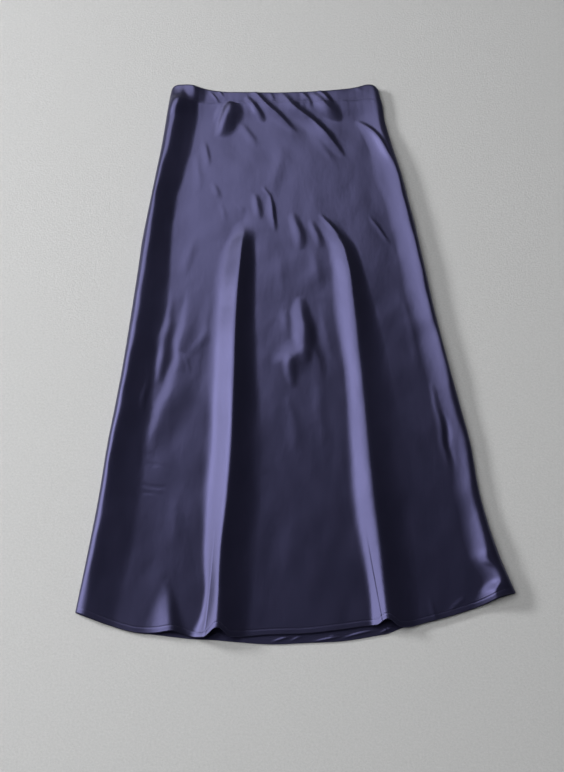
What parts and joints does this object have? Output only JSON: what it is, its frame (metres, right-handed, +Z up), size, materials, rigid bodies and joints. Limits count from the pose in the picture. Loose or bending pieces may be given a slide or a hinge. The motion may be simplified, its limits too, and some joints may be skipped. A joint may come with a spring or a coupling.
{
  "type": "mermaid fishtail skirt",
  "caption": "Long satin skirt laid flat face up, flaring to the hem in two raised flutes, with a gathered waistband and a turned hem.",
  "frame": {"origin": "centre of the bottom of the laid skirt's bounding box, on the surface that it lies on", "axes": "+Z up from the surface towards the skirt's front, +Y along its length from the hem to the waist, +X to the right as one looks down on it from the hem"},
  "size_m": [0.6209, 0.9184, 0.0206],
  "materials": {
    "satin_front": "navy blue satin, glossy, bias cut",
    "satin_back": "navy blue satin, glossy outside, duller inside",
    "satin_band": "navy blue satin casing, gathered",
    "satin_hem": "navy blue satin, turned and topstitched"
  },
  "bodies": {
    "root": {"front_centre": "satin_front", "front_side_left": "satin_front", "front_side_right": "satin_front", "back_centre": "satin_back", "back_side_left": "satin_back", "back_side_right": "satin_back", "waistband_front": "satin_band", "waistband_back": "satin_band", "hem_front": "satin_hem", "hem_back": "satin_hem"}
  },
  "joints": []
}
